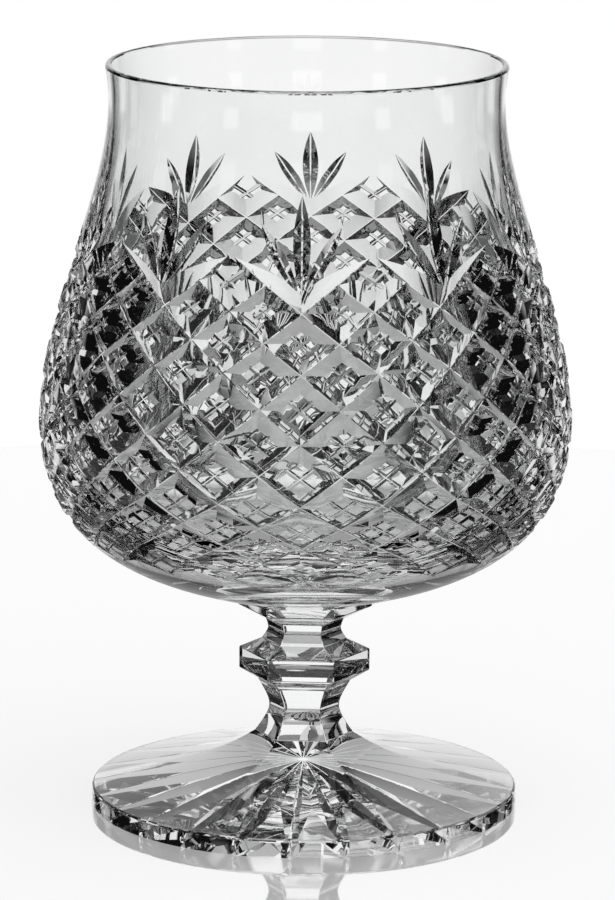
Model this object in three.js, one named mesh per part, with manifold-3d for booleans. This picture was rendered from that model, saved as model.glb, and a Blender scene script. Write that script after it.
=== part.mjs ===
// Cut-crystal brandy glass: bowl, hexagonal knopped stem and star-cut foot.
// Millimetres, +Z up. The origin is the centre of the flat underside that the glass stands on.
// Azimuth 0 faces -Y, the front, and grows towards +X.

import * as THREE from 'three';
import { mergeVertices } from 'three/addons/utils/BufferGeometryUtils.js';
import { ConvexGeometry } from 'three/addons/geometries/ConvexGeometry.js';
import Module from 'manifold-3d';

const wasm = await Module();
wasm.setup();

const DEGREE = Math.PI / 180;

// Bowl, outside: heights are stacked from the joint with the stem to the rim
const BASE_RADIUS = 13; // flat under the bowl that sits on the collar
const BASE_SLOPE = 20.8 * DEGREE; // how steeply the underside leaves the flat
const BASE_PULL = 12.2; // how long the underside keeps that slope
const BASE_TO_BELLY = 33.9;
const BELLY_RADIUS = 49.6;
const BELLY_PULL_DOWN = 27.4; // fullness of the curve below the belly
const BELLY_PULL_UP = 19.4; // fullness of the curve above the belly
const BELLY_TO_NECK = 59.3;
const NECK_RADIUS = 36.5;
const NECK_PULL = 16.3; // length of the draw below the neck
const NECK_TO_RIM = 7.3;
const LIP_FLARE = 0.6; // the lip stands this far outside the neck

// Bowl, inside
const LIP_THICKNESS = 1.25;
const BELLY_WALL = 4.2;
const FLOOR_THICKNESS = 6; // solid glass over the joint with the stem
const FLOOR_PULL = 28; // flatness of the inside of the bottom
const INSIDE_PULL_DOWN = 21; // fullness of the inside below the belly
const INSIDE_PULL_UP = 17.5; // fullness of the inside above the belly
const INSIDE_NECK_PULL = 22; // longer than outside, so that the wall stays thick behind the cuts

// Lattice of mitre cuts on the bowl: rows of crossings, from the peaks of the border down
const DIAMONDS_ROUND = 20;
const PEAKS_BELOW_NECK = 21.6;
const ROW_HEIGHTS = [10, 11.1, 12.8, 11.8, 9.2, 8.6]; // along the wall, crossing to crossing
const MITRE_WIDTH_TOP = 5.2;
const MITRE_WIDTH_BOTTOM = 3;
const MITRE_HALF_ANGLE = 57 * DEGREE; // of the wheel that cuts the lattice and the fans
const VALLEY_FLANK = 2.5; // clear flank above the zigzag border, at each valley
const SLOPE_FLANK = 1.9; // the same, halfway up to a peak
const NOTCH_FLANK = 2.3; // clear flank under the lattice, at each notch
const BORDER_MARGIN = 1; // from the peaks to the first level ring of the clear wall
const SMALLEST_TABLE = 0.1; // share of a diamond that its table keeps, however wide the cuts are
const PATTERN_TURN = -1.1 * DEGREE;

// Fans of three blades, one in each valley of the zigzag border
const FAN_CLEARANCE = 0.5; // between the border's flank and the foot of a fan
const CUTTER_LIFT = 1; // how far a blade's cutter stands out of the glass
const MIDDLE_BLADE = { length: 17, width: 2.85, lean: 0, aside: 0 };
const SIDE_BLADE = { length: 14, width: 2.1, lean: 28 * DEGREE, aside: 0.5 };

// Stem, from the joint with the foot up: corner radii of the hexagon and stacked heights
const STEM_SIDES = 6;
const STEM_FOOT_RADIUS = 9.2;
const LOWER_WAIST_RADIUS = 6.6;
const LOWER_WAIST_HEIGHT = 10;
const UNDERCUT_RADIUS = 8.7; // where the lower waist meets the underside of the knop
const UNDERCUT_HEIGHT = 2.1;
const KNOP_RADIUS = 12.3;
const KNOP_BAND = 4.05;
const SHOULDER_RADIUS = 8; // where the top of the knop meets the upper waist
const SHOULDER_HEIGHT = 1.85;
const UPPER_WAIST_RADIUS = 6.9;
const UPPER_WAIST_HEIGHT = 3.9;
const COLLAR_NECK_RADIUS = 7.4; // where the upper waist meets the underside of the collar
const COLLAR_FLARE_HEIGHT = 2.5;
const COLLAR_RADIUS = 12.7;
const COLLAR_BAND = 1.9;

// Foot
const FOOT_HEIGHT = 13.2; // underside to the joint with the stem
const FOOT_RADIUS = 40;
const FOOT_EDGE = 3.4; // height of the upright edge with its rounding
const EDGE_ROUNDING = 0.7;
const DISH_EDGE_SLOPE = 14 * DEGREE; // slope of the top at the edge
const DISH_EDGE_PULL = 24; // how far in the top keeps that slope
const DISH_STEM_SLOPE = 31 * DEGREE; // slope of the top at the stem
const DISH_STEM_PULL = 6.5; // how far out the top keeps that slope
const FOOT_RAYS = 24; // four to a side of the stem, so that a ray runs out under each corner
const STAR_RADIUS = 19; // where neighbouring rays stop touching
const RAY_END_WIDTH = 1.1;
const RAY_HALF_ANGLE = 60 * DEGREE; // of the wheel that cuts the rays
const EDGE_NICK_DEPTH = 0.5;
const STEM_TURN = -3.5 * DEGREE; // of the stem and foot: one flat looks a little to the left

// How finely the round surfaces are divided
const COLUMNS_PER_DIAMOND = 4;
const WALL_ROWS = 4;
const NECK_ROWS = 2;
const LIP_ROWS = 4;
const INSIDE_ROWS = 6;
const UNDERSIDE_ROWS = 4;
const FOOT_TOP_ROWS = 7;
const BLADE_STATIONS = 7;
const WAIST_STEPS = 6;

// Heights that follow from the stacks
const STEM_LENGTH = LOWER_WAIST_HEIGHT + UNDERCUT_HEIGHT + KNOP_BAND + SHOULDER_HEIGHT
  + UPPER_WAIST_HEIGHT + COLLAR_FLARE_HEIGHT + COLLAR_BAND;
const NECK_RISE = BASE_TO_BELLY + BELLY_TO_NECK;
const BOWL_HEIGHT = NECK_RISE + NECK_TO_RIM;
const LIP_RISE = BOWL_HEIGHT - LIP_THICKNESS / 2;
const LIP_RADIUS = NECK_RADIUS + LIP_FLARE;

// Collects the faces of one closed skin; corners run anticlockwise seen from outside.
class Skin {
  constructor() {
    this.corners = [];
  }

  triangle(a, b, c) {
    this.corners.push(a, b, c);
  }

  quad(a, b, c, d) {
    this.triangle(a, b, c);
    this.triangle(a, c, d);
  }

  // Joins two rings with as many points each, the lower one first.
  band(lower, upper) {
    for (let i = 0; i < lower.length; i++) {
      const next = (i + 1) % lower.length;
      this.quad(lower[i], lower[next], upper[next], upper[i]);
    }
  }

  // Closes a ring to a point on the axis: above is true for a face seen from above.
  cap(ring, centre, above) {
    for (let i = 0; i < ring.length; i++) {
      const next = (i + 1) % ring.length;
      if (above) this.triangle(ring[i], ring[next], centre);
      else this.triangle(ring[next], ring[i], centre);
    }
  }

  geometry() {
    return mergeVertices(new THREE.BufferGeometry().setFromPoints(this.corners), 1e-4);
  }
}

function polar(azimuth, radius, z) {
  return new THREE.Vector3(radius * Math.sin(azimuth), -radius * Math.cos(azimuth), z);
}

function ringOf(azimuths, radius, z) {
  return azimuths.map((azimuth) => polar(azimuth, radius, z));
}

function toSolid(geometry) {
  const bare = geometry.clone();
  bare.deleteAttribute('normal');
  bare.deleteAttribute('uv');
  const merged = mergeVertices(bare, 1e-4);
  return new wasm.Manifold(new wasm.Mesh({
    numProp: 3,
    vertProperties: merged.attributes.position.array,
    triVerts: new Uint32Array(merged.index.array),
  }));
}

function toGeometry(solid) {
  const mesh = solid.getMesh();
  const geometry = new THREE.BufferGeometry();
  geometry.setAttribute('position', new THREE.BufferAttribute(mesh.vertProperties, 3));
  geometry.setIndex(new THREE.BufferAttribute(mesh.triVerts, 1));
  return geometry;
}

// Evenly spread values from one number to another, both included
function spread(from, to, parts) {
  return Array.from({ length: parts + 1 }, (_, i) => THREE.MathUtils.lerp(from, to, i / parts));
}

function glass(color) {
  return new THREE.MeshStandardMaterial({
    color,
    roughness: 0.03,
    metalness: 0,
    transparent: true,
    opacity: 0.35,
  });
}

// Outline of the outside of the bowl, from the joint with the stem to the lip
function bowlOutside() {
  const outline = new THREE.CurvePath();
  const base = new THREE.Vector2(BASE_RADIUS, 0);
  const pull = new THREE.Vector2(Math.cos(BASE_SLOPE), Math.sin(BASE_SLOPE)).multiplyScalar(BASE_PULL);
  outline.add(new THREE.CubicBezierCurve(
    base,
    base.clone().add(pull),
    new THREE.Vector2(BELLY_RADIUS, BASE_TO_BELLY - BELLY_PULL_DOWN),
    new THREE.Vector2(BELLY_RADIUS, BASE_TO_BELLY),
  ));
  outline.add(new THREE.CubicBezierCurve(
    new THREE.Vector2(BELLY_RADIUS, BASE_TO_BELLY),
    new THREE.Vector2(BELLY_RADIUS, BASE_TO_BELLY + BELLY_PULL_UP),
    new THREE.Vector2(NECK_RADIUS, NECK_RISE - NECK_PULL),
    new THREE.Vector2(NECK_RADIUS, NECK_RISE),
  ));
  outline.add(new THREE.QuadraticBezierCurve(
    new THREE.Vector2(NECK_RADIUS, NECK_RISE),
    new THREE.Vector2(NECK_RADIUS, (NECK_RISE + LIP_RISE) / 2),
    new THREE.Vector2(LIP_RADIUS, LIP_RISE),
  ));
  return outline;
}

// Outline of the inside of the bowl, from the lip down to the middle of the floor
function bowlInside() {
  const outline = new THREE.CurvePath();
  const neck = NECK_RADIUS - LIP_THICKNESS;
  const belly = BELLY_RADIUS - BELLY_WALL;
  outline.add(new THREE.QuadraticBezierCurve(
    new THREE.Vector2(LIP_RADIUS - LIP_THICKNESS, LIP_RISE),
    new THREE.Vector2(neck, (NECK_RISE + LIP_RISE) / 2),
    new THREE.Vector2(neck, NECK_RISE),
  ));
  outline.add(new THREE.CubicBezierCurve(
    new THREE.Vector2(neck, NECK_RISE),
    new THREE.Vector2(neck, NECK_RISE - INSIDE_NECK_PULL),
    new THREE.Vector2(belly, BASE_TO_BELLY + INSIDE_PULL_UP),
    new THREE.Vector2(belly, BASE_TO_BELLY),
  ));
  outline.add(new THREE.CubicBezierCurve(
    new THREE.Vector2(belly, BASE_TO_BELLY),
    new THREE.Vector2(belly, BASE_TO_BELLY - INSIDE_PULL_DOWN),
    new THREE.Vector2(FLOOR_PULL, FLOOR_THICKNESS),
    new THREE.Vector2(0, FLOOR_THICKNESS),
  ));
  return outline;
}

const outside = bowlOutside();
const outsideLength = outside.getLength();

// Length along the outside outline at which it reaches a given rise
function lengthAtRise(rise) {
  let low = 0;
  let high = outsideLength;
  while (high - low > 1e-6) {
    const middle = (low + high) / 2;
    if (outside.getPointAt(middle / outsideLength).y < rise) low = middle;
    else high = middle;
  }
  return low;
}

// A point in the wall: along is measured up the outline, and depth goes into the glass.
function inWall(azimuth, along, depth = 0) {
  const at = THREE.MathUtils.clamp(along / outsideLength, 0, 1);
  const point = outside.getPointAt(at);
  const tangent = outside.getTangentAt(at);
  return polar(azimuth, point.x - depth * tangent.y, point.y + depth * tangent.x);
}

// The lattice: crossings lie on levels, numbered from 0 at the peaks down, two to a row.
const latticeTop = lengthAtRise(NECK_RISE - PEAKS_BELOW_NECK);
const lastLevel = 2 * ROW_HEIGHTS.length;
const halfPitch = Math.PI / DIAMONDS_ROUND;
const latticeHeight = ROW_HEIGHTS.reduce((sum, height) => sum + height, 0);

function alongAtLevel(level) {
  const row = Math.min(Math.floor(level / 2), ROW_HEIGHTS.length - 1);
  const above = ROW_HEIGHTS.slice(0, row).reduce((sum, height) => sum + height, 0);
  return latticeTop - above - ROW_HEIGHTS[row] * (level / 2 - row);
}

function mitreWidth(along) {
  const share = (latticeTop - along) / latticeHeight;
  return THREE.MathUtils.lerp(MITRE_WIDTH_TOP, MITRE_WIDTH_BOTTOM, share);
}

// A crossing of two mitre cuts. The cuts run out to nothing at the peaks and at the lowest tips.
function crossing(step, level) {
  const along = alongAtLevel(level);
  const runsOut = level === 0 || level === lastLevel;
  const depth = runsOut ? 0 : mitreWidth(along) / 2 / Math.tan(MITRE_HALF_ANGLE);
  return inWall(step * halfPitch, along, depth);
}

// One diamond: a flat-topped pyramid between four crossings, with its table on the blown surface.
function addDiamond(skin, step, level) {
  const azimuth = step * halfPitch;
  const along = alongAtLevel(level);
  const radius = outside.getPointAt(along / outsideLength).x;
  const halfWidth = radius * halfPitch;
  const halfHeight = (alongAtLevel(level - 1) - alongAtLevel(level + 1)) / 2;
  const across = 2 * halfWidth * halfHeight / Math.hypot(halfWidth, halfHeight);
  const share = Math.max(1 - mitreWidth(along) / across, SMALLEST_TABLE);
  const top = crossing(step, level - 1);
  const right = crossing(step + 1, level);
  const bottom = crossing(step, level + 1);
  const left = crossing(step - 1, level);
  const onTable = (dStep, dLevel) => inWall(
    azimuth + dStep * share * halfPitch,
    along + share * (alongAtLevel(level + dLevel) - along),
  );
  const tableTop = onTable(0, -1);
  const tableRight = onTable(1, 0);
  const tableBottom = onTable(0, 1);
  const tableLeft = onTable(-1, 0);
  const middle = inWall(azimuth, along);
  skin.quad(right, top, tableTop, tableRight);
  skin.quad(top, left, tableLeft, tableTop);
  skin.quad(left, bottom, tableBottom, tableLeft);
  skin.quad(bottom, right, tableRight, tableBottom);
  skin.triangle(tableRight, tableTop, middle);
  skin.triangle(tableTop, tableLeft, middle);
  skin.triangle(tableLeft, tableBottom, middle);
  skin.triangle(tableBottom, tableRight, middle);
}

// Peaks stand at every second diamond, so level 0 and its diamonds are there only.
function isPeak(step) {
  return ((step % 4) + 4) % 4 === 2;
}

// Edges of the clear glass: along the zigzag border above the lattice, and under its notches
function borderAlong(column) {
  const step = 2 * column / COLUMNS_PER_DIAMOND;
  const phase = Math.abs(((step + 2) % 4) - 2);
  const knots = [
    alongAtLevel(2) + VALLEY_FLANK,
    alongAtLevel(1) + SLOPE_FLANK,
    alongAtLevel(0),
  ];
  const low = Math.min(Math.floor(phase), 1);
  return THREE.MathUtils.lerp(knots[low], knots[low + 1], phase - low);
}

function footingAlong(column) {
  const step = 2 * column / COLUMNS_PER_DIAMOND;
  const fromNotch = Math.abs((step % 2) - 1);
  return THREE.MathUtils.lerp(alongAtLevel(lastLevel - 1) - NOTCH_FLANK, alongAtLevel(lastLevel), fromNotch);
}

function makeBowl() {
  const skin = new Skin();
  const steps = 2 * DIAMONDS_ROUND;
  for (let step = 0; step < steps; step++) {
    for (let level = 1; level < lastLevel; level++) {
      if ((step + level) % 2 === 0) continue;
      if (level === 1 && !isPeak(step)) continue;
      addDiamond(skin, step, level);
    }
  }

  const columns = DIAMONDS_ROUND * COLUMNS_PER_DIAMOND;
  const columnsPerStep = COLUMNS_PER_DIAMOND / 2;
  const azimuths = Array.from({ length: columns }, (_, i) => (i / columns) * 2 * Math.PI);
  const border = azimuths.map((azimuth, i) => inWall(azimuth, borderAlong(i)));
  const footing = azimuths.map((azimuth, i) => inWall(azimuth, footingAlong(i)));

  // The clear flanks of the border and of the lowest mitre cuts
  for (let step = 0; step < steps; step++) {
    const upper = (k) => border[(step * columnsPerStep + k) % columns];
    const lower = (k) => footing[(step * columnsPerStep + k) % columns];
    const levels = [2, 1, 0, 1, 2];
    const phase = step % 4;
    const from = crossing(step, levels[phase]);
    const to = crossing(step + 1, levels[phase + 1]);
    const bottomFrom = crossing(step, step % 2 === 0 ? lastLevel : lastLevel - 1);
    const bottomTo = crossing(step + 1, step % 2 === 0 ? lastLevel - 1 : lastLevel);
    for (let k = 0; k < columnsPerStep; k++) {
      const pivot = k < columnsPerStep / 2;
      skin.triangle(pivot ? from : to, upper(k + 1), upper(k));
      skin.triangle(lower(k), lower(k + 1), pivot ? bottomFrom : bottomTo);
    }
    skin.triangle(from, to, upper(columnsPerStep / 2));
    skin.triangle(lower(columnsPerStep / 2), bottomTo, bottomFrom);
  }

  // Clear glass above the border, up to the lip
  const ringAt = (along) => azimuths.map((azimuth) => inWall(azimuth, along));
  const neck = lengthAtRise(NECK_RISE);
  const climb = [
    ...spread(latticeTop + BORDER_MARGIN, neck, WALL_ROWS),
    ...spread(neck, outsideLength, NECK_ROWS).slice(1),
  ];
  let ring = border;
  const bandTo = (next) => {
    skin.band(ring, next);
    ring = next;
  };
  climb.forEach((along) => bandTo(ringAt(along)));

  // Rounded lip
  const rounding = LIP_THICKNESS / 2;
  for (const angle of spread(0, Math.PI, LIP_ROWS).slice(1)) {
    const radius = LIP_RADIUS - rounding + rounding * Math.cos(angle);
    bandTo(ringOf(azimuths, radius, LIP_RISE + rounding * Math.sin(angle)));
  }

  // Smooth inside, down to the middle of the floor
  const [flare, draw, bottom] = bowlInside().curves;
  const descent = [
    ...flare.getSpacedPoints(NECK_ROWS).slice(1),
    ...draw.getSpacedPoints(INSIDE_ROWS).slice(1),
    ...bottom.getSpacedPoints(INSIDE_ROWS).slice(1, -1),
  ];
  descent.forEach((point) => bandTo(ringOf(azimuths, point.x, point.y)));
  skin.cap(ring, new THREE.Vector3(0, 0, FLOOR_THICKNESS), true);

  // Clear glass below the lattice, down to the flat that sits on the collar
  ring = footing;
  for (const along of spread(alongAtLevel(lastLevel) - NOTCH_FLANK, 0, UNDERSIDE_ROWS)) {
    const next = ringAt(along);
    skin.band(next, ring);
    ring = next;
  }
  skin.cap(ring, new THREE.Vector3(0, 0, 0), false);

  const blank = toSolid(skin.geometry());
  return toGeometry(blank.subtract(fanCutters()));
}

// One blade of a fan: a lens-shaped mitre cut that is pointed at both ends.
function bladeCutter(valley, blade, side) {
  const footAlong = alongAtLevel(2) + VALLEY_FLANK + FAN_CLEARANCE;
  const bladeAt = (t) => {
    const along = footAlong + t * blade.length * Math.cos(blade.lean);
    const radius = outside.getPointAt(along / outsideLength).x;
    const aside = side * (blade.aside + t * blade.length * Math.sin(blade.lean));
    return { azimuth: valley + aside / radius, along };
  };
  const surface = (t, depth = 0) => inWall(bladeAt(t).azimuth, bladeAt(t).along, depth);
  const outward = surface(0.5).sub(surface(0.5, 1)).normalize();
  const lengthwise = surface(1).sub(surface(0)).normalize();
  const sideways = new THREE.Vector3().crossVectors(lengthwise, outward).normalize();
  const points = [];
  for (let i = 0; i < BLADE_STATIONS; i++) {
    const t = i / (BLADE_STATIONS - 1);
    const halfWidth = blade.width / 2 * 4 * t * (1 - t);
    const depth = halfWidth / Math.tan(MITRE_HALF_ANGLE);
    const keel = surface(t).addScaledVector(outward, -depth);
    const lifted = surface(t).addScaledVector(outward, CUTTER_LIFT);
    const reach = halfWidth + CUTTER_LIFT * Math.tan(MITRE_HALF_ANGLE);
    points.push(
      keel,
      lifted.clone().addScaledVector(sideways, -reach),
      lifted.clone().addScaledVector(sideways, reach),
    );
  }
  return toSolid(new ConvexGeometry(points));
}

function fanCutters() {
  const cutters = [];
  for (let valley = 0; valley < DIAMONDS_ROUND; valley += 2) {
    const azimuth = valley * 2 * halfPitch;
    cutters.push(bladeCutter(azimuth, MIDDLE_BLADE, 0));
    cutters.push(bladeCutter(azimuth, SIDE_BLADE, -1));
    cutters.push(bladeCutter(azimuth, SIDE_BLADE, 1));
  }
  return cutters.reduce((all, cutter) => all.add(cutter));
}

// A hollow run of the stem's outline: corner radii at its foot, its waist and its head
function waist(footRadius, waistRadius, headRadius, rise, height) {
  const curve = new THREE.SplineCurve([
    new THREE.Vector2(footRadius, rise),
    new THREE.Vector2(waistRadius, rise + height / 2),
    new THREE.Vector2(headRadius, rise + height),
  ]);
  return curve.getPoints(WAIST_STEPS);
}

function makeStem() {
  const bandRise = LOWER_WAIST_HEIGHT + UNDERCUT_HEIGHT;
  const shoulderRise = bandRise + KNOP_BAND;
  const upperRise = shoulderRise + SHOULDER_HEIGHT;
  const outline = [
    new THREE.Vector2(0, 0),
    ...waist(STEM_FOOT_RADIUS, LOWER_WAIST_RADIUS, UNDERCUT_RADIUS, 0, LOWER_WAIST_HEIGHT),
    new THREE.Vector2(KNOP_RADIUS, bandRise),
    new THREE.Vector2(KNOP_RADIUS, shoulderRise),
    ...waist(SHOULDER_RADIUS, UPPER_WAIST_RADIUS, COLLAR_NECK_RADIUS, upperRise, UPPER_WAIST_HEIGHT),
    new THREE.Vector2(COLLAR_RADIUS, STEM_LENGTH - COLLAR_BAND),
    new THREE.Vector2(COLLAR_RADIUS, STEM_LENGTH),
    new THREE.Vector2(0, STEM_LENGTH),
  ];
  const firstCorner = Math.PI / STEM_SIDES;
  return new THREE.LatheGeometry(outline, STEM_SIDES, firstCorner).rotateX(Math.PI / 2);
}

// Distance from the axis to the side of a regular polygon, as a share of its corner radius
function polygonShare(azimuth, sides) {
  const sector = 2 * Math.PI / sides;
  const fromFlat = ((azimuth % sector) + sector) % sector;
  const nearest = Math.min(fromFlat, sector - fromFlat);
  return Math.cos(Math.PI / sides) / Math.cos(nearest);
}

// Outline of the foot above its underside: upright edge, rounding and dished top
function footOutline() {
  const shoulder = FOOT_RADIUS - EDGE_ROUNDING;
  const corner = EDGE_ROUNDING * (1 - Math.SQRT1_2);
  const dish = new THREE.CubicBezierCurve(
    new THREE.Vector2(shoulder, FOOT_EDGE),
    new THREE.Vector2(shoulder - DISH_EDGE_PULL, FOOT_EDGE + DISH_EDGE_PULL * Math.tan(DISH_EDGE_SLOPE)),
    new THREE.Vector2(
      STEM_FOOT_RADIUS + DISH_STEM_PULL,
      FOOT_HEIGHT - DISH_STEM_PULL * Math.tan(DISH_STEM_SLOPE),
    ),
    new THREE.Vector2(STEM_FOOT_RADIUS, FOOT_HEIGHT),
  );
  return [
    new THREE.Vector2(FOOT_RADIUS, FOOT_EDGE - EDGE_ROUNDING),
    new THREE.Vector2(FOOT_RADIUS - corner, FOOT_EDGE - corner),
    ...dish.getPoints(FOOT_TOP_ROWS),
  ];
}

function makeFoot() {
  const skin = new Skin();
  const raySector = 2 * Math.PI / FOOT_RAYS;
  const nickHalf = RAY_END_WIDTH / 2 / FOOT_RADIUS;
  const starDepth = STAR_RADIUS * Math.sin(raySector / 2) / Math.tan(RAY_HALF_ANGLE);
  const endDepth = RAY_END_WIDTH / 2 / Math.tan(RAY_HALF_ANGLE);

  // Columns: the middle of each ray, its far edge at the rim, the middle of the land, the next edge
  const columns = [];
  for (let ray = 0; ray < FOOT_RAYS; ray++) {
    const middle = ray * raySector;
    columns.push(
      { azimuth: middle, nick: EDGE_NICK_DEPTH },
      { azimuth: middle + nickHalf, nick: 0 },
      { azimuth: middle + raySector / 2, nick: 0 },
      { azimuth: middle + raySector - nickHalf, nick: 0 },
    );
  }
  const rim = columns.map(({ azimuth, nick }) => (
    polar(azimuth, FOOT_RADIUS - nick, nick > 0 ? endDepth : 0)
  ));
  const rimAt = (index) => rim[(index + rim.length) % rim.length];

  // Star cut under the foot, with a flat land between each two rays
  const centre = new THREE.Vector3(0, 0, starDepth);
  for (let ray = 0; ray < FOOT_RAYS; ray++) {
    const middle = 4 * ray;
    const azimuth = columns[middle].azimuth;
    const keel = polar(azimuth, STAR_RADIUS, starDepth);
    const before = polar(azimuth - raySector / 2, STAR_RADIUS, 0);
    const after = polar(azimuth + raySector / 2, STAR_RADIUS, 0);
    skin.triangle(keel, before, centre);
    skin.triangle(after, keel, centre);
    skin.quad(keel, rimAt(middle), rimAt(middle - 1), before);
    skin.quad(after, rimAt(middle + 1), rimAt(middle), keel);
    skin.triangle(before, rimAt(middle - 1), rimAt(middle - 2));
    skin.triangle(after, rimAt(middle + 2), rimAt(middle + 1));
  }

  // From the rim up to the stem, where the round top turns into the stem's hexagon
  let ring = rim;
  footOutline().forEach(({ x: radius, y: z }) => {
    const climb = Math.max((z - FOOT_EDGE) / (FOOT_HEIGHT - FOOT_EDGE), 0);
    const next = columns.map(({ azimuth, nick }) => {
      const hexagonal = THREE.MathUtils.lerp(1, polygonShare(azimuth, STEM_SIDES), climb ** 2);
      const nicked = z < FOOT_EDGE ? nick : 0;
      return polar(azimuth, radius * hexagonal - nicked, z);
    });
    skin.band(ring, next);
    ring = next;
  });
  skin.cap(ring, new THREE.Vector3(0, 0, FOOT_HEIGHT), true);
  return skin.geometry();
}

const foot = new THREE.Mesh(makeFoot(), glass(0xeef1f0));
foot.name = 'foot';
foot.rotation.z = STEM_TURN;

const stem = new THREE.Mesh(makeStem(), glass(0xeef1f0));
stem.name = 'stem';
stem.rotation.z = STEM_TURN;
stem.position.z = FOOT_HEIGHT;

const bowl = new THREE.Mesh(makeBowl(), glass(0xeef1f0));
bowl.name = 'bowl';
bowl.rotation.z = PATTERN_TURN;
bowl.position.z = FOOT_HEIGHT + STEM_LENGTH;

const brandyGlass = new THREE.Group();
brandyGlass.add(foot, stem, bowl);

export default brandyGlass;
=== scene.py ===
"""Looks of a cut-crystal brandy glass, built around its packed construction model.

Metres, +Z up, the origin under the middle of the foot. Azimuth 0 faces -Y, the front, and grows
towards +X. Each cut in the glass is a pass of a blunt V-edged wheel: a bar of that section is laid along
the line of the cut and taken out of the blown or pressed blank.
"""

import math

import bpy
from bpy.props import FloatProperty, FloatVectorProperty, IntProperty, PointerProperty
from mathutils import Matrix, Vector
from mathutils.geometry import interpolate_bezier


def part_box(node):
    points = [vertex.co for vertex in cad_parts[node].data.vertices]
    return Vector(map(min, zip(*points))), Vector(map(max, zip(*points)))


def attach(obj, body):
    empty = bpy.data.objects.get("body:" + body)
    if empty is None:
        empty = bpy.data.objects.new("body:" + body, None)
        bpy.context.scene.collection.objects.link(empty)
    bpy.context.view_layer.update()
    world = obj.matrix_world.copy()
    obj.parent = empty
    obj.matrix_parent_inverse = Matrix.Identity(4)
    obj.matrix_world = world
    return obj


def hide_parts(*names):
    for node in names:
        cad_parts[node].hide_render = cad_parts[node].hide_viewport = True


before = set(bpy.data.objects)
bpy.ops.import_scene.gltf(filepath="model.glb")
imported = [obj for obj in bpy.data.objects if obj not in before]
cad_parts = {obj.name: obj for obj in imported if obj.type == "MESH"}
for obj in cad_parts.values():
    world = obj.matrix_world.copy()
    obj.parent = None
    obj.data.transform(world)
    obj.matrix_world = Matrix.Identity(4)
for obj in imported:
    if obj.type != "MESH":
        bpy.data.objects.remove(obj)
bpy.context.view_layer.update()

bl_info = {
    "name": "Cut-Crystal Brandy Glass",
    "version": (1, 0, 0),
    "blender": (4, 5, 0),
    "location": "View3D > Sidebar > Brandy Glass",
    "description": "Models the cut bowl, the knopped stem and the star-cut foot of a brandy glass",
    "category": "Object",
}

BOWL_LOW, BOWL_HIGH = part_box("bowl")
STEM_LOW, STEM_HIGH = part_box("stem")
FOOT_LOW, FOOT_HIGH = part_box("foot")

MM = 0.001
ARC_HANDLE = 4 / 3 * (math.sqrt(2) - 1)  # handle of a quarter circle, as a share of its radius
STEM_SIDES = 6
ROUNDING_STEPS = 4  # round the foot's upper edge
SEAM = 0.001 * MM  # closer corners than this are one
CREASE = math.radians(12)  # sharper edges than this are cut edges and stay crisp
LEVEL = 0.99  # a face whose normal rises by more than this lies flat

OUTSIDE_FINENESS = 20  # points to each stretch of the bowl's outline
LIP_FINENESS = 4
INSIDE_FINENESS = 16

RUN_IN_LEVELS = 1.5  # over which a lattice cut reaches its full depth below a peak
PEAK_GAP = 0.1  # of a step, left uncut between the two arms that meet at a peak
STEPS_PER_LEVEL = 4
BLADE_STEPS = 16
LIFT = 0.5 * MM  # how far a wheel's bar stands out of the glass
KEEL_SHARE = 0.4  # of half a cut's width, which its keel never passes

SLITS = (45, 90, 135, 180)  # degrees round from the backdrop, to both sides
BACK_SLIT_SHARE = 2  # how much wider the slit on the camera's side is
HORIZON_SOFT = 3  # degrees to each side over which an edge in the studio passes from dark to lit
TABLE_SIDE_SOFT = 7
TABLE_SOFT = 8
NEAR_SOFT = 6
SPILL_SIDE_SOFT = 8
SPILL_SOFT = 4
SLIT_SIDE_SOFT = 1
SLIT_SOFT = 2
PAINTED_REFLECTION_TOP_SOFT = 4
LAMP_PLACE = (0.2, -0.2, 0.95)
LAMP_TURN = (0.2, 0.2, 0)


def length(name, description, millimetres):
    return FloatProperty(name=name, description=description, default=millimetres * MM,
                         min=0.0, precision=5, unit="LENGTH", subtype="DISTANCE")


def angle(name, description, degrees):
    return FloatProperty(name=name, description=description, default=math.radians(degrees),
                         subtype="ANGLE")


def count(name, description, number):
    return IntProperty(name=name, description=description, default=number, min=2)


def amount(name, description, value):
    return FloatProperty(name=name, description=description, default=value, min=0.0)


def colour(name, description, value):
    return FloatVectorProperty(name=name, description=description, default=value, size=3,
                               min=0.0, max=1.0, subtype="COLOR")


class BowlSizes(bpy.types.PropertyGroup):
    base_radius: length("Base Radius", "Flat under the bowl that sits on the collar", 13)
    base_slope: angle("Base Slope", "How steeply the underside leaves the flat", 20.8)
    base_pull: length("Base Pull", "How long the underside keeps that slope", 12.2)
    base_to_belly: length("Base to Belly", "Rise from the flat to the widest ring", 33.9)
    belly_pull_down: length("Belly Pull Down", "Fullness of the curve below the belly", 27.4)
    belly_pull_up: length("Belly Pull Up", "Fullness of the curve above the belly", 19.4)
    neck_radius: length("Neck Radius", "Narrowest ring under the lip", 36.5)
    neck_pull: length("Neck Pull", "Length of the draw below the neck", 16.3)
    neck_to_rim: length("Neck to Rim", "Height of the flared lip", 7.3)
    lip_flare: length("Lip Flare", "How far the lip stands outside the neck", 0.6)
    lip_thickness: length("Lip Thickness", "Thickness of the rounded lip", 1.25)
    belly_wall: length("Belly Wall", "Thickness of the wall at the belly", 4.2)
    floor_thickness: length("Floor Thickness", "Solid glass over the stem", 6)
    floor_pull: length("Floor Pull", "Flatness of the inside of the bottom", 28)
    inside_pull_down: length("Inside Pull Down", "Fullness of the inside below the belly", 21)
    inside_pull_up: length("Inside Pull Up", "Fullness of the inside above the belly", 14)
    inside_neck_pull: length("Inside Neck Pull", "Length of the draw inside the neck", 17)
    columns: count("Columns", "Divisions round the blown bowl", 180)


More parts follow.
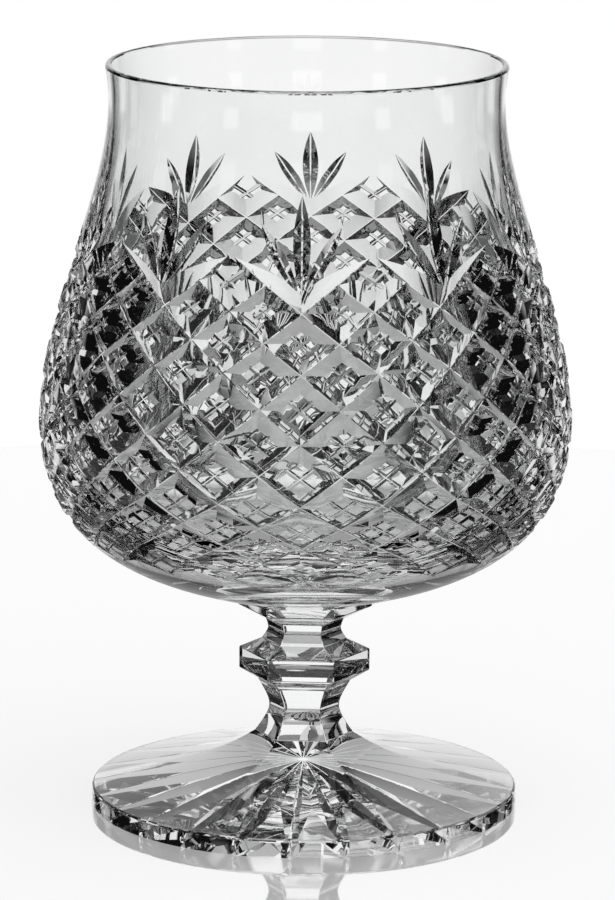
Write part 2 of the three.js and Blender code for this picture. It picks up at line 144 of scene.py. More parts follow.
class CuttingSizes(bpy.types.PropertyGroup):
    diamonds_round: count("Diamonds Round", "Diamonds in one row of the lattice", 20)
    peaks_below_neck: length("Peaks Below Neck", "Drop from the neck to the peaks", 21.6)
    row_1: length("Row 1", "Height of the row of peaks, along the wall", 10)
    row_2: length("Row 2", "Height of the second row", 11.1)
    row_3: length("Row 3", "Height of the third row", 12.8)
    row_4: length("Row 4", "Height of the fourth row", 11.8)
    row_5: length("Row 5", "Height of the fifth row", 9.2)
    row_6: length("Row 6", "Height of the lowest row", 8.6)
    mitre_width_top: length("Mitre Width, Top", "Width of the lattice cuts at the peaks", 5.8)
    mitre_width_bottom: length("Mitre Width, Bottom", "Width of the lowest lattice cuts", 3.5)
    hatch_width: length("Hatch Width", "Width of the thin cuts across the diamonds", 1.0)
    mitre_half_angle: angle("Mitre Half Angle", "Half the edge angle of the lattice wheel", 52)
    fine_half_angle: angle("Fine Half Angle", "Half the edge angle of the wheel for fans and hatching", 46)
    keel_width: length("Keel Width", "Flat that the wheel's blunt edge leaves along a cut", 0.18)
    blade_keel: length("Blade Keel", "The same flat along the blades of a fan", 0.3)
    pattern_turn: angle("Pattern Turn", "Turn of the pattern about the axis", -1.1)
    fan_clearance: length("Fan Clearance", "From the border up to the foot of a fan", 3.0)
    middle_length: length("Middle Blade Length", "Upright blade of a fan", 17.8)
    middle_width: length("Middle Blade Width", "Upright blade of a fan", 3.2)
    side_length: length("Side Blade Length", "Leaning blades of a fan", 14.3)
    side_width: length("Side Blade Width", "Leaning blades of a fan", 2.35)
    side_lean: angle("Side Blade Lean", "Lean of the outer blades of a fan", 28)
    side_offset: length("Side Blade Offset", "From the middle line to a side blade's foot", 0.5)


class StemSizes(bpy.types.PropertyGroup):
    foot_radius: length("Foot Radius", "Corner radius on the foot", 9.2)
    lower_waist: length("Lower Waist", "Corner radius of the lower waist", 6.6)
    lower_waist_height: length("Lower Waist Height", "Foot to the undercut", 10)
    undercut: length("Undercut", "Corner radius under the knop", 8.7)
    undercut_height: length("Undercut Height", "Rise of the knop's underside", 2.1)
    knop: length("Knop", "Corner radius of the knop", 12.3)
    knop_band: length("Knop Band", "Height of the knop's upright faces", 4.05)
    shoulder: length("Shoulder", "Corner radius on top of the knop", 8)
    shoulder_height: length("Shoulder Height", "Rise of the knop's top", 1.85)
    upper_waist: length("Upper Waist", "Corner radius of the upper waist", 6.9)
    upper_waist_height: length("Upper Waist Height", "Knop to the collar's flare", 3.9)
    collar_neck: length("Collar Neck", "Corner radius under the collar", 7.4)
    collar_flare_height: length("Collar Flare", "Rise of the collar's underside", 2.5)
    collar: length("Collar", "Corner radius of the collar", 12.7)
    edge_round: length("Edge Round", "Softening of the polished edges", 0.16)
    turn: angle("Turn", "Turn of stem and foot about the axis", -3.5)
    waist_steps: count("Waist Steps", "Divisions of a waist", 14)


class FootSizes(bpy.types.PropertyGroup):
    edge: length("Edge", "Height of the upright edge with its rounding", 3.4)
    edge_rounding: length("Edge Rounding", "Radius of the upper edge", 0.7)
    edge_slope: angle("Edge Slope", "Slope of the top at the edge", 14)
    edge_pull: length("Edge Pull", "How far in the top keeps that slope", 24)
    stem_slope: angle("Stem Slope", "Slope of the top at the stem", 31)
    stem_pull: length("Stem Pull", "How far out the top keeps that slope", 6.5)
    rays: count("Rays", "Rays of the star, an even number", 24)
    star_radius: length("Star Radius", "Where neighbouring rays stop touching", 21.5)
    ray_end_width: length("Ray End Width", "Width of a ray at the edge", 1.1)
    ray_half_angle: angle("Ray Half Angle", "Half the edge angle of the wheel", 48)
    nick_depth: length("Nick Depth", "Depth of a ray's nick in the edge", 0.5)
    columns: count("Columns", "Divisions round the foot", 192)
    top_rows: count("Top Rows", "Divisions from the edge to the stem", 28)


class CrystalFinish(bpy.types.PropertyGroup):
    tint_low: colour("Tint, Low", "Glass in the denser cords", (0.975, 0.982, 0.98))
    tint_high: colour("Tint, High", "Clear glass between them", (0.996, 0.999, 0.998))
    ior: amount("IOR", "Refraction of lead crystal", 1.545)
    roughness: amount("Roughness", "Most of the polish's haze", 0.006)
    cut_haze: amount("Cut Haze", "Haze of a cut against that of the blown glass", 1.6)
    cord_scale: amount("Cord Scale", "Cords of tint to a metre", 38)
    polish_scale: amount("Polish Scale", "Patches of haze to a metre", 160)
    blown_ripple: amount("Blown Ripple", "Ripples to a metre of blown glass", 60)
    blown_ripple_depth: length("Blown Ripple Depth", "Their depth", 0.01)
    cut_ripple: amount("Cut Ripple", "Ripples to a metre of a cut", 700)
    cut_ripple_depth: length("Cut Ripple Depth", "Their depth", 0.001)


class StudioSettings(bpy.types.PropertyGroup):
    camera_distance: length("Camera Distance", "In front of the axis", 958.9)
    camera_height: length("Camera Height", "Above the table", 275.8)
    camera_pitch: angle("Camera Pitch", "Downward tilt", 12.27)
    camera_roll: angle("Camera Roll", "Turn about the line of sight", 0.28)
    camera_shift: amount("Camera Shift", "Sideways, as a share of the picture's longer side", 0.0024)
    focal_length: amount("Focal Length", "In millimetres, on a 36 mm side", 210.66)
    lamp_size: length("Lamp Size", "Side of the soft lamp above the table", 800)
    lamp_power: amount("Lamp Power", "In watts", 2)
    table_radius: length("Table Radius", "Round table under the glass", 320)
    table: colour("Table", "Pale glossy table", (0.8, 0.8, 0.8))
    table_shine: amount("Table Shine", "Light that comes up through the table", 0.51)
    table_gloss: amount("Table Gloss", "Strength of its mirror against that of clean glass", 2.5)
    table_haze: amount("Table Haze", "Roughness of its mirror", 0.04)
    # Far Table to Far Table Glow: painted light, a glow that the table far behind the glass gives only to
    # the glass's rays
    table_far: length("Far Table", "Behind the glass, where the table starts to brighten", 160)
    table_far_run: length("Far Table Run", "Over which it becomes as bright as the backdrop", 80)
    table_far_glow: amount("Far Table Glow", "Its brightness", 0.9)
    # Near Table to Table Reach: painted light and shade of the table, set as levels in the world for the
    # glass's rays and not lit by the lamp
    table_near: angle("Near Table", "Height below which the table shows on all sides", -50)
    table_near_glow: amount("Near Table Glow", "Its brightness", 0.36)
    table_front: angle("Table Front", "Turn beyond which the table in front shows", 142)
    table_front_glow: amount("Table Front Glow", "Its brightness", 0.28)
    table_glow: amount("Table Glow", "Brightness of the table to the glass", 0.46)
    table_steep: angle("Steep Table", "Height at which the table close under the glass begins", -42)
    table_steep_end: angle("Steep Table End", "Height at which it has its full brightness", -60)
    table_steep_glow: amount("Steep Table Glow", "Brightness close under the glass", 0.58)
    table_edge: angle("Table Edge", "Height at which the backdrop begins", -18)
    table_foot: angle("Table Foot", "Height at which the table is too steep to be lit", -78)
    table_reach: angle("Table Reach", "Half the width of the lit table behind the glass", 24)
    backdrop: angle("Backdrop", "Half the width of the lit backdrop", 24)
    backdrop_fade: angle("Backdrop Fade", "Softness of its sides", 2)
    backdrop_middle: angle("Backdrop Middle", "Half the width that is fully bright", 8)
    backdrop_sides: amount("Backdrop Sides", "Brightness near its sides", 0.6)
    backdrop_top: angle("Backdrop Top", "Height above which it fades", 41)
    backdrop_top_run: angle("Backdrop Top Run", "Over which it fades", 4)
    backdrop_top_glow: amount("Backdrop Top Glow", "Brightness above that", 0.88)
    spill: amount("Spill", "Brightness beside the backdrop", 0.15)
    spill_width: angle("Spill Width", "How far round the spill reaches", 35)
    spill_low: angle("Spill Low", "Height at which the spill begins", -8)
    spill_high: angle("Spill High", "Height at which it ends", 10)
    slit: angle("Slit", "Half the width of the slits between the flags", 4.5)
    slit_low: angle("Slit Low", "Height at which a slit begins", -20)
    slit_high: angle("Slit High", "Height at which it ends", -8)
    slit_glow: amount("Slit Glow", "Brightness in the slits", 0.85)
    # painted reflection: a pale band in the slits that only glossy rays see, for glints on the facets and a
    # white mirror in the table
    painted_reflection_low: angle("Wall Low", "Height of the pale wall that only mirrors show in the slits", 6)
    painted_reflection_high: angle("Wall High", "Height at which it ends", 24)
    painted_reflection_glow: amount("Wall Glow", "Its brightness", 0.9)
    room: amount("Room", "Brightness all round to what isn't glass", 0.35)
    dark: amount("Dark", "Brightness of the black flags", 0.004)


def only(obj):
    """Makes obj the one selected and active object."""
    bpy.ops.object.select_all(action="DESELECT")
    obj.select_set(True)
    bpy.context.view_layer.objects.active = obj


def edit(obj, kind="VERT"):
    only(obj)
    bpy.ops.object.mode_set(mode="EDIT")
    bpy.ops.mesh.select_mode(type=kind)
    bpy.ops.mesh.select_all(action="DESELECT")


def leave():
    bpy.ops.object.mode_set(mode="OBJECT")


def pick(obj, parts, test):
    """Selects in edit mode the vertices, edges or faces that pass a test."""
    leave()
    for part in getattr(obj.data, parts):
        part.select = test(part)
    bpy.ops.object.mode_set(mode="EDIT")


def settle(obj):
    """Puts an object's place into its mesh."""
    only(obj)
    bpy.ops.object.transform_apply(location=True, rotation=True, scale=True)


def polar(azimuth, radius, z):
    return Vector((radius * math.sin(azimuth), -radius * math.cos(azimuth), z))


def polygon_share(azimuth, sides):
    """Distance from the axis to a regular polygon's side, as a share of its corner radius."""
    sector = 2 * math.pi / sides
    from_flat = azimuth % sector
    nearest = min(from_flat, sector - from_flat)
    return math.cos(math.pi / sides) / math.cos(nearest)


def bowl_knots(s):
    """The bowl's outline as (knot, handle before, handle after) in radius and height."""
    foot = BOWL_LOW.z
    belly_z = foot + s.base_to_belly
    neck_z = BOWL_HIGH.z - s.neck_to_rim
    lip_z = BOWL_HIGH.z - s.lip_thickness / 2
    belly = (BOWL_HIGH.x - BOWL_LOW.x) / 2
    neck = s.neck_radius
    lip = neck + s.lip_flare
    bead = s.lip_thickness / 2

    def at(r, z):
        return Vector((r, 0, z))

    base = at(s.base_radius, foot)
    leave_base = base + at(math.cos(s.base_slope), math.sin(s.base_slope)) * s.base_pull
    draw = (lip_z - neck_z) / 3  # a third of the way, as a quadratic curve's handles stand
    flare = s.lip_flare / 3
    inner_neck = neck - s.lip_thickness
    inner_lip = lip - s.lip_thickness
    inner_belly = belly - s.belly_wall
    floor_z = foot + s.floor_thickness
    outside = [
        (base, base, leave_base),
        (at(belly, belly_z), at(belly, belly_z - s.belly_pull_down), at(belly, belly_z + s.belly_pull_up)),
        (at(neck, neck_z), at(neck, neck_z - s.neck_pull), at(neck, neck_z + draw)),
        (at(lip, lip_z), at(lip - 2 * flare, lip_z - draw), at(lip, lip_z)),
    ]
    bead_handle = bead * ARC_HANDLE
    rounding = [
        (at(lip, lip_z), at(lip, lip_z), at(lip, lip_z + bead_handle)),
        (at(lip - bead, lip_z + bead), at(lip - bead + bead_handle, lip_z + bead),
         at(lip - bead - bead_handle, lip_z + bead)),
        (at(inner_lip, lip_z), at(inner_lip, lip_z + bead_handle), at(inner_lip, lip_z)),
    ]
    inside = [
        (at(inner_lip, lip_z), at(inner_lip, lip_z), at(inner_lip - 2 * flare, lip_z - draw)),
        (at(inner_neck, neck_z), at(inner_neck, neck_z + draw), at(inner_neck, neck_z - s.inside_neck_pull)),
        (at(inner_belly, belly_z), at(inner_belly, belly_z + s.inside_pull_up),
         at(inner_belly, belly_z - s.inside_pull_down)),
        (at(0, floor_z), at(s.floor_pull, floor_z), at(0, floor_z)),
    ]
    return outside, rounding, inside


class Wall:
    """The blown outside of the bowl, measured along its outline from the flat at the bottom."""

    FINENESS = 200

    def __init__(self, knots):
        self.points = [knots[0][0]]
        for (start, _, leaving), (end, arriving, _) in zip(knots, knots[1:]):
            self.points += interpolate_bezier(start, leaving, arriving, end, self.FINENESS)[1:]
        self.lengths = [0.0]
        for before, after in zip(self.points, self.points[1:]):
            self.lengths.append(self.lengths[-1] + (after - before).length)

    def find(self, along):
        low, high = 0, len(self.lengths) - 1
        while high - low > 1:
            middle = (low + high) // 2
            if self.lengths[middle] <= along:
                low = middle
            else:
                high = middle
        share = (along - self.lengths[low]) / (self.lengths[high] - self.lengths[low])
        return self.points[low].lerp(self.points[high], share), self.points[high] - self.points[low]

    def along_at(self, z):
        index = next(i for i, point in enumerate(self.points) if point.z >= z)
        return self.lengths[index]

    def radius(self, along):
        return self.find(along)[0].x

    def point(self, azimuth, along):
        outline = self.find(along)[0]
        return polar(azimuth, outline.x, outline.z)

    def outward(self, azimuth, along):
        run = self.find(along)[1].normalized()
        return polar(azimuth, run.z, -run.x)


class Lattice:
    """Levels of crossings, numbered from 0 at the peaks down, two to a row."""

    def __init__(self, wall, s):
        self.wall, self.s = wall, s
        self.rows = [s.row_1, s.row_2, s.row_3, s.row_4, s.row_5, s.row_6]
        self.last = 2 * len(self.rows)
        self.step = math.pi / s.diamonds_round
        neck_z = BOWL_HIGH.z - bpy.context.scene.bowl_sizes.neck_to_rim
        self.top = wall.along_at(neck_z - s.peaks_below_neck)

    def along(self, level):
        row = min(int(level / 2), len(self.rows) - 1)
        return self.top - sum(self.rows[:row]) - self.rows[row] * (level / 2 - row)

    def mitre(self, level):
        """Half the width of a lattice cut, which runs out at the peaks and at the lowest tips."""
        share = (self.top - self.along(level)) / sum(self.rows)
        full = self.s.mitre_width_top + (self.s.mitre_width_bottom - self.s.mitre_width_top) * share**1.5
        run_in = math.sin(math.pi / 2 * min(max(level - PEAK_GAP, 0) / RUN_IN_LEVELS, 1))
        run_out = min(self.last - level, 1)
        return full / 2 * run_in * run_out


def wheel_bar(steps):
    """A straight square bar, one unit long, with a ring of corners at each step."""
    bpy.ops.object.select_all(action="DESELECT")
    bpy.ops.mesh.primitive_cylinder_add(vertices=4, radius=1, depth=1, rotation=(0, 0, math.pi / 4))
    bar = bpy.context.object
    settle(bar)
    edit(bar, "EDGE")
    z = [v.co.z for v in bar.data.vertices]
    pick(bar, "edges", lambda e: abs(z[e.vertices[0]] - z[e.vertices[1]]) > 0.5)
    bpy.ops.mesh.subdivide(number_cuts=steps - 1)
    leave()
    return bar


def lay_bar(pattern, line, wheel):
    """A copy of the straight bar laid along a line, as the wheel's blunt V.

    line(t) gives the point on the surface, the outward direction and half the cut's width.
    """
    tangent, blunt = wheel
    bar = pattern.copy()
    bar.data = pattern.data.copy()
    bpy.context.scene.collection.objects.link(bar)
    nudge = 0.002
    for vertex in bar.data.vertices:
        t = min(max(vertex.co.z + 0.5, 0.0), 1.0)
        point, outward, half_width = line(t)
        ahead = line(min(t + nudge, 1.0))[0] - line(max(t - nudge, 0.0))[0]
        sideways = ahead.cross(outward).normalized()
        keel = max(min(blunt, half_width * KEEL_SHARE), SEAM)
        side = 1 if vertex.co.x > 0 else -1
        if vertex.co.y > 0:
            vertex.co = point - outward * ((half_width - keel) / tangent) + sideways * (side * keel)
        else:
            vertex.co = point + outward * LIFT + sideways * (side * (half_width + LIFT * tangent))
    return bar


def joined(bars, name):
    """Joins wheel bars that don't touch each other into one cutter."""
    bpy.ops.object.select_all(action="DESELECT")
    for bar in bars:
        bar.select_set(True)
    bpy.context.view_layer.objects.active = bars[0]
    if len(bars) > 1:
        bpy.ops.object.join()
    cutter = bpy.context.object
    cutter.name = name
    edit(cutter)
    bpy.ops.mesh.select_all(action="SELECT")
    bpy.ops.mesh.normals_make_consistent(inside=False)
    leave()
    return cutter


def cut(blank, cutter, finish):
    """Takes a cutter out of the blank; the new faces have the finish of a cut."""
    cutter.data.materials.clear()
    cutter.data.materials.append(finish)
    only(blank)
    boolean = blank.modifiers.new("wheel", "BOOLEAN")
    boolean.operation = "DIFFERENCE"
    boolean.solver = "MANIFOLD"
    boolean.object = cutter
    boolean.material_mode = "TRANSFER"
    bpy.ops.object.modifier_apply(modifier=boolean.name)
    bpy.data.objects.remove(cutter)


def lattice_cutters(wall, lattice, turn, mitre_wheel, fine_wheel):
    """Cutters for both slants: the mitre lattice and the thin hatching across its diamonds."""
    steps = 2 * lattice.s.diamonds_round
    cutters = []

    def line_from(step, first, last, slant, half_width):
        def line(t):
            level = first + (last - first) * t
            azimuth = turn + (step + slant * (level - first)) * lattice.step
            along = lattice.along(level)
            return wall.point(azimuth, along), wall.outward(azimuth, along), half_width(level)
        return line

    def set_of(name, starts, half_width, wheel):
        patterns = {}
        for slant in (-1, 1):
            bars = []
            for step, first, last in starts(slant):
                span = round((last - first) * STEPS_PER_LEVEL)
                if span not in patterns:
                    patterns[span] = wheel_bar(span)
                line = line_from(step, first, last, slant, half_width)
                bars.append(lay_bar(patterns[span], line, wheel))
            cutters.append(joined(bars, f"{name}_{slant}"))
        for pattern in patterns.values():
            bpy.data.objects.remove(pattern)

    def mitre_starts(slant):
        """Long cuts start at the peaks, and the ones between them on the border's slopes."""
        for peak in range(2, steps, 4):
            yield peak + slant * PEAK_GAP, PEAK_GAP, lattice.last
            yield peak - slant, 1, lattice.last

    def hatch_starts(slant):
        """Between the mitre cuts, from the border to the lower edge."""
        for peak in range(2, steps, 4):
            yield peak - slant * 0.5, 0.5, lattice.last - 0.5
            yield peak + slant * 2.5, 1.5, lattice.last - 0.5

    set_of("mitre", mitre_starts, lattice.mitre, mitre_wheel)
    set_of("hatch", hatch_starts, lambda level: lattice.s.hatch_width / 2, fine_wheel)
    return cutters


def fan_cutters(wall, lattice, turn, wheel):
    """Cutters for the middle, left and right blades of all the fans."""
    s = lattice.s
    foot = lattice.along(2) + s.fan_clearance
    kinds = (
        ("middle", 0, s.middle_length, s.middle_width, 0, 0),
        ("left", -1, s.side_length, s.side_width, s.side_lean, s.side_offset),
        ("right", 1, s.side_length, s.side_width, s.side_lean, s.side_offset),
    )
    cutters = []
    pattern = wheel_bar(BLADE_STEPS)
    for name, side, blade, width, lean, offset in kinds:
        def line_over(valley):
            def line(t):
                along = foot + t * blade * math.cos(lean)
                aside = side * (offset + t * blade * math.sin(lean))
                azimuth = valley + aside / wall.radius(along)
                swell = 4 * t * (1 - t)
                return wall.point(azimuth, along), wall.outward(azimuth, along), width / 2 * swell
            return line

        valleys = [turn + 4 * fan * lattice.step for fan in range(s.diamonds_round // 2)]
        bars = [lay_bar(pattern, line_over(valley), wheel) for valley in valleys]
        cutters.append(joined(bars, f"blade_{name}"))
    bpy.data.objects.remove(pattern)
    return cutters


def drawn_outline(name, runs):
    """One chain of edges from runs of Bezier knots, each run with its own fineness."""
    bpy.ops.object.select_all(action="DESELECT")
    bpy.ops.curve.primitive_bezier_curve_add()
    curve = bpy.context.object
    curve.name = name
    curve.data.splines.clear()
    for knots, fineness in runs:
        spline = curve.data.splines.new("BEZIER")
        spline.bezier_points.add(len(knots) - 1)
        spline.resolution_u = fineness
        for bezier, (knot, before, after) in zip(spline.bezier_points, knots):
            bezier.handle_left_type = bezier.handle_right_type = "FREE"
            bezier.co, bezier.handle_left, bezier.handle_right = knot, before, after
    only(curve)
    bpy.ops.object.convert(target="MESH")
    outline = bpy.context.object
    edit(outline)
    bpy.ops.mesh.select_all(action="SELECT")
    bpy.ops.mesh.remove_doubles(threshold=SEAM)
    leave()
    return outline


def turned(outline, columns):
    """Spins an outline round the axis and closes the seam and the poles."""
    edit(outline)
    bpy.ops.mesh.select_all(action="SELECT")
    bpy.ops.mesh.spin(steps=columns, angle=2 * math.pi, center=(0, 0, 0), axis=(0, 0, 1))
    bpy.ops.mesh.select_all(action="SELECT")
    bpy.ops.mesh.remove_doubles(threshold=SEAM)
    leave()


def close_on_hexagon(obj, z, radius, turn, finish_index):
    """Closes the open ring at height z with a flat whose middle is the stem's hexagon."""
    edit(obj)
    bpy.ops.mesh.select_non_manifold(extend=False)
    bpy.ops.mesh.extrude_edges_move()
    leave()
    ring = [v for v in obj.data.vertices if v.select]
    azimuths = sorted((math.atan2(v.co.x, -v.co.y), v.index) for v in ring)
    sector = 2 * math.pi / len(ring)
    for place, (azimuth, index) in enumerate(azimuths):
        nearest = turn + sector * round((azimuth - turn) / sector)
        share = polygon_share(nearest - turn, STEM_SIDES)
        obj.data.vertices[index].co = polar(nearest, radius * share, z)
    edit(obj)
    leave()
    for _, index in azimuths:
        obj.data.vertices[index].select = True
    bpy.ops.object.mode_set(mode="EDIT")
    bpy.ops.mesh.edge_face_add()
    obj.active_material_index = finish_index
    bpy.ops.object.material_slot_assign()
    bpy.ops.mesh.select_all(action="SELECT")
    bpy.ops.mesh.normals_make_consistent(inside=False)
    leave()


def add(tree, kind, inputs=(), **settings):
    """A node with its settings and its inputs, each a value or another node's output."""
    node = tree.nodes.new(kind)
    for name, value in settings.items():
        setattr(node, name, value)
    for key, value in dict(inputs).items():
        if isinstance(value, bpy.types.NodeSocket):
            tree.links.new(value, node.inputs[key])
        else:
            node.inputs[key].default_value = value
    return node


def maths(tree, operation, *values):
    return add(tree, "ShaderNodeMath", enumerate(values), operation=operation).outputs[0]


def ranged(tree, value, low, high, to_low=0.0, to_high=1.0):
    """Value carried smoothly from one range to another."""
    inputs = {"Value": value, "From Min": low, "From Max": high, "To Min": to_low, "To Max": to_high}
    return add(tree, "ShaderNodeMapRange", inputs, interpolation_type="SMOOTHSTEP").outputs[0]


def fresh_material(name):
    material = bpy.data.materials.new(name)
    material.use_nodes = True
    material.node_tree.nodes.clear()
    return material, material.node_tree


def crystal(name, finish, haze, ripples, ripple_depth):
    """Polished lead crystal: faint cords of tint in the glass, a little haze and a slight ripple."""
    material, tree = fresh_material(name)
    place = add(tree, "ShaderNodeTexCoord").outputs["Object"]
    cords = add(tree, "ShaderNodeTexNoise", {"Vector": place, "Scale": finish.cord_scale,
                                          "Detail": 2.0, "Distortion": 0.6})
    tint = add(tree, "ShaderNodeValToRGB", {"Fac": cords.outputs["Fac"]})
    tint.color_ramp.elements[0].position = 0.35
    tint.color_ramp.elements[0].color = (*finish.tint_low, 1)
    tint.color_ramp.elements[1].position = 0.65
    tint.color_ramp.elements[1].color = (*finish.tint_high, 1)
    polish = add(tree, "ShaderNodeTexNoise", {"Vector": place, "Scale": finish.polish_scale, "Detail": 3.0})
    roughness = ranged(tree, polish.outputs["Fac"], 0.4, 0.75, 0.0, finish.roughness * haze)
    ripple = add(tree, "ShaderNodeTexNoise", {"Vector": place, "Scale": ripples, "Detail": 1.0})
    bump = add(tree, "ShaderNodeBump", {"Height": ripple.outputs["Fac"], "Strength": 1.0,
                                        "Distance": ripple_depth})
    shader = add(tree, "ShaderNodeBsdfPrincipled", {
        "Base Color": tint.outputs["Color"],
        "Roughness": roughness,
        "IOR": finish.ior,
        "Transmission Weight": 1.0,
        "Normal": bump.outputs["Normal"],
    })
    add(tree, "ShaderNodeOutputMaterial", {"Surface": shader.outputs[0]})
    return material


def joint_finish():
    """The hot joint inside the fused glass: nothing shows there, so light goes straight on."""
    material, tree = fresh_material("hot_joint")
    shader = add(tree, "ShaderNodeBsdfPrincipled", {"Alpha": 0.0, "Transmission Weight": 1.0})
    add(tree, "ShaderNodeOutputMaterial", {"Surface": shader.outputs[0]})
    return material


def finish_of(name):
    """The glass's finishes, made once each."""
    if name not in bpy.data.materials:
        finish = bpy.context.scene.crystal_finish
        makers = {
            "blown_crystal": lambda: crystal(name, finish, 1.0, finish.blown_ripple,
                                             finish.blown_ripple_depth),
            "cut_crystal": lambda: crystal(name, finish, finish.cut_haze, finish.cut_ripple,
                                           finish.cut_ripple_depth),
            "hot_joint": joint_finish,
        }
        makers[name]()
    return bpy.data.materials[name]


def dress(obj, *names):
    obj.data.materials.clear()
    for name in names:
        obj.data.materials.append(finish_of(name))


def hand_in(obj, node):
    """Seats a finished piece in the frame in place of its node."""
    settle(obj)
    bpy.ops.object.shade_smooth_by_angle(angle=CREASE)
    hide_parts(node)
    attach(obj, "root")


def make_bowl(context):
    """Blown bowl with its lattice, hatching and fans cut into the outside."""
    scene = context.scene
    sizes, cutting = scene.bowl_sizes, scene.cutting_sizes
    outside, rounding, inside = bowl_knots(sizes)
    wall = Wall(outside)
    lattice = Lattice(wall, cutting)
    mitre_wheel = math.tan(cutting.mitre_half_angle), cutting.keel_width / 2
    fine_wheel = math.tan(cutting.fine_half_angle), cutting.keel_width / 2
    bowl = drawn_outline("cut_bowl", ((outside, OUTSIDE_FINENESS), (rounding, LIP_FINENESS),
                                          (inside, INSIDE_FINENESS)))
    turned(bowl, sizes.columns)
    dress(bowl, "blown_crystal", "cut_crystal", "hot_joint")
    close_on_hexagon(bowl, BOWL_LOW.z, scene.stem_sizes.collar, scene.stem_sizes.turn, 2)
    cutters = lattice_cutters(wall, lattice, cutting.pattern_turn, mitre_wheel, fine_wheel)
    blade_wheel = math.tan(cutting.fine_half_angle), cutting.blade_keel / 2
    cutters += fan_cutters(wall, lattice, cutting.pattern_turn, blade_wheel)
    for cutter in cutters:
        cut(bowl, cutter, finish_of("cut_crystal"))
    hand_in(bowl, "bowl")


def spline_through(points, steps):
    """Evenly parted points on a smooth curve through the given ones, all but the first."""
    found = []
    for i in range(len(points) - 1):
        before, start, end = points[max(i - 1, 0)], points[i], points[i + 1]
        after = points[min(i + 2, len(points) - 1)]
        for k in range(1, steps // 2 + 1):
            t = k / (steps // 2)
            leave_pull, reach_pull = (end - before) / 2, (after - start) / 2
            found.append(
                (2 * start - 2 * end + leave_pull + reach_pull) * t ** 3
                + (3 * end - 3 * start - 2 * leave_pull - reach_pull) * t ** 2
                + leave_pull * t + start)
    return found


def stem_stations(s):
    """Corner radius and height of each ring of the stem, from the foot up."""
    z = STEM_LOW.z
    top = STEM_HIGH.z

    def at(radius, height):
        return Vector((radius, height))

    def waist(start, middle, end, height):
        return spline_through([at(start, z), at(middle, z + height / 2), at(end, z + height)], s.waist_steps)

    rings = [at(s.foot_radius, z)]
    rings += waist(s.foot_radius, s.lower_waist, s.undercut, s.lower_waist_height)
    z += s.lower_waist_height + s.undercut_height
    rings.append(at(s.knop, z))
    z += s.knop_band
    rings.append(at(s.knop, z))
    z += s.shoulder_height
    rings.append(at(s.shoulder, z))
    rings += waist(s.shoulder, s.upper_waist, s.collar_neck, s.upper_waist_height)
    z += s.upper_waist_height + s.collar_flare_height
    return rings + [at(s.collar, z), at(s.collar, top)]


def raise_rings(obj, rings):
    """Extrudes a flat outline upwards through rings of given radius and height."""
    edit(obj, "FACE")
    bpy.ops.mesh.select_all(action="SELECT")
    for before, after in zip(rings, rings[1:]):
        rise = after.y - before.y
        bpy.ops.mesh.extrude_region_move(TRANSFORM_OT_translate={"value": (0, 0, rise)})
        share = after.x / before.x
        bpy.ops.transform.resize(value=(share, share, 1), center_override=(0, 0, after.y))
    bpy.ops.mesh.select_all(action="SELECT")
    bpy.ops.mesh.normals_make_consistent(inside=False)
    leave()


def make_stem(context):
    """Solid six-sided stem: lower waist, knop, upper waist and collar."""
    s = context.scene.stem_sizes
    rings = stem_stations(s)
    bpy.ops.object.select_all(action="DESELECT")
    bpy.ops.mesh.primitive_circle_add(
        vertices=STEM_SIDES, radius=s.foot_radius, fill_type="NGON",
        location=(0, 0, STEM_LOW.z), rotation=(0, 0, math.pi / STEM_SIDES + s.turn))
    stem = context.object
    stem.name = "knopped_stem"
    settle(stem)
    raise_rings(stem, rings)
    dress(stem, "cut_crystal", "hot_joint")

    edit(stem, "EDGE")
    heights = [v.co.z for v in stem.data.vertices]
    joints = (STEM_LOW.z, STEM_HIGH.z)
    bpy.ops.mesh.edges_select_sharp(sharpness=CREASE * 2)
    leave()
    for edge in stem.data.edges:
        if any(abs(heights[v] - z) < SEAM for v in edge.vertices for z in joints):
            edge.select = False
    bpy.ops.object.mode_set(mode="EDIT")
    bpy.ops.mesh.bevel(offset=s.edge_round, segments=2, affect="EDGES", clamp_overlap=True)
    leave()
    mark_joints(stem, joints, 1)
    hand_in(stem, "stem")


def mark_joints(obj, heights, index):
    """Gives the flats that are fused to a neighbour the joint's finish."""
    edit(obj, "FACE")
    pick(obj, "polygons", lambda face: abs(face.normal.z) > LEVEL
         and any(abs(face.center.z - z) < SEAM for z in heights))
    obj.active_material_index = index
    bpy.ops.object.material_slot_assign()
    leave()


def foot_rings(s, stem_radius):
    """Radius and height of each ring of the foot, from the underside up."""
    radius = (FOOT_HIGH.x - FOOT_LOW.x) / 2
    shoulder = radius - s.edge_rounding
    rings = [Vector((radius, FOOT_LOW.z)), Vector((radius, FOOT_LOW.z + s.edge - s.edge_rounding))]
    for part in range(1, ROUNDING_STEPS + 1):
        turn = math.pi / 2 * part / ROUNDING_STEPS
        rings.append(Vector((shoulder + s.edge_rounding * math.cos(turn),
                             FOOT_LOW.z + s.edge - s.edge_rounding + s.edge_rounding * math.sin(turn))))
    top = FOOT_HIGH.z
    knots = (
        Vector((shoulder, FOOT_LOW.z + s.edge)),
        Vector((shoulder - s.edge_pull, FOOT_LOW.z + s.edge + s.edge_pull * math.tan(s.edge_slope))),
        Vector((stem_radius + s.stem_pull, top - s.stem_pull * math.tan(s.stem_slope))),
        Vector((stem_radius, top)),
    )
    return rings + [v.to_2d() for v in interpolate_bezier(*knots, s.top_rows + 1)[1:]]


def draw_in_to_stem(foot, s, turn):
    """Lets the round top of the foot pass into the stem's hexagon."""
    for vertex in foot.data.vertices:
        climb = (vertex.co.z - s.edge) / (FOOT_HIGH.z - s.edge)
        if climb > 0:
            azimuth = math.atan2(vertex.co.x, -vertex.co.y) - turn
            share = 1 + (polygon_share(azimuth, STEM_SIDES) - 1) * climb ** 2
            vertex.co.x *= share
            vertex.co.y *= share


